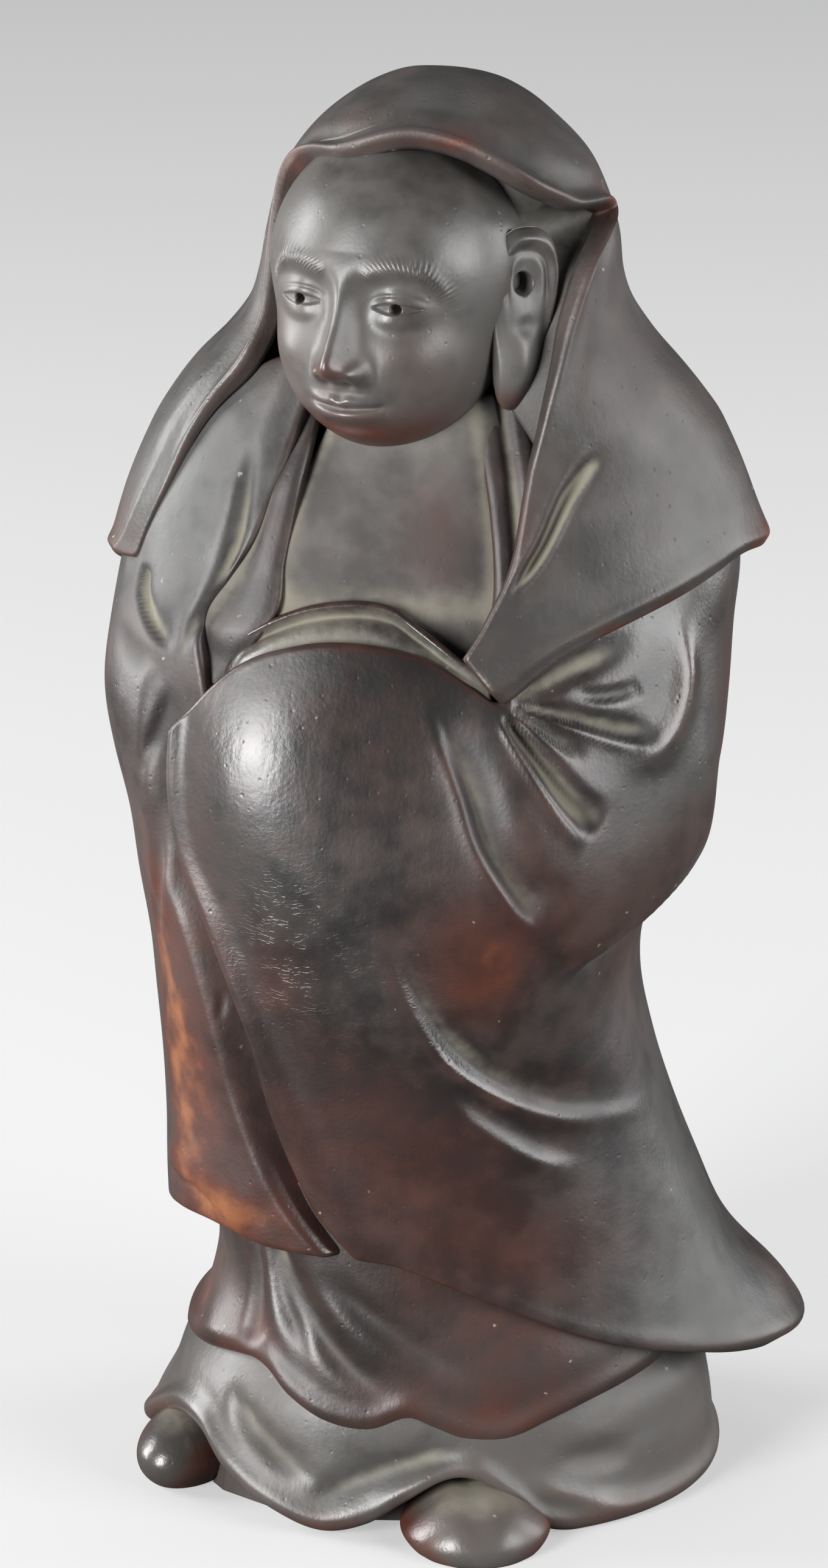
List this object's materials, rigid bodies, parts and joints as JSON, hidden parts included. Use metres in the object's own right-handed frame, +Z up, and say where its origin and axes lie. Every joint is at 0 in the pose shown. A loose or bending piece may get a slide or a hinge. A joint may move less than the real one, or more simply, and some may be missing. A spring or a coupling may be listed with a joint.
{
  "type": "ceramic daruma figure",
  "caption": "Standing hooded figure in burnished dark stoneware, wrapped in a wind-blown robe, for a shelf, alcove or display table.",
  "frame": {"origin": "middle of the floor slab's underside, on the surface that the figure stands on", "axes": "+Z up, the figure faces -Y, +X is towards the figure's own left"},
  "size_m": [0.1356, 0.0999, 0.2776],
  "materials": {
    "robe_clay": "burnished dark red-brown stoneware with rusty edges and yellow-grey dust in the folds",
    "hood_clay": "burnished grey-brown stoneware, duller on top, with rusty edges",
    "skin_clay": "finely burnished dark grey-brown stoneware",
    "under_robe_clay": "satin red-brown stoneware",
    "skirt_clay": "satin grey-brown stoneware with a thin veil of ash",
    "raw_clay": "bare fired clay, matt"
  },
  "bodies": {
    "root": {"cape_left": "hood_clay", "hood": "hood_clay", "cape_right": "hood_clay", "hood_lining": "hood_clay", "head": "skin_clay", "left_ear": "skin_clay", "right_ear": "skin_clay", "chest": "skin_clay", "robe_front": "robe_clay", "robe_back": "robe_clay", "robe_side": "robe_clay", "left_lapel": "robe_clay", "right_lapel": "robe_clay", "belly_band": "robe_clay", "under_robe_front": "under_robe_clay", "under_robe_back": "under_robe_clay", "skirt_front": "skirt_clay", "skirt_back": "skirt_clay", "right_shoe": "skirt_clay", "left_shoe": "skirt_clay", "base_plate": "raw_clay"}
  },
  "joints": []
}
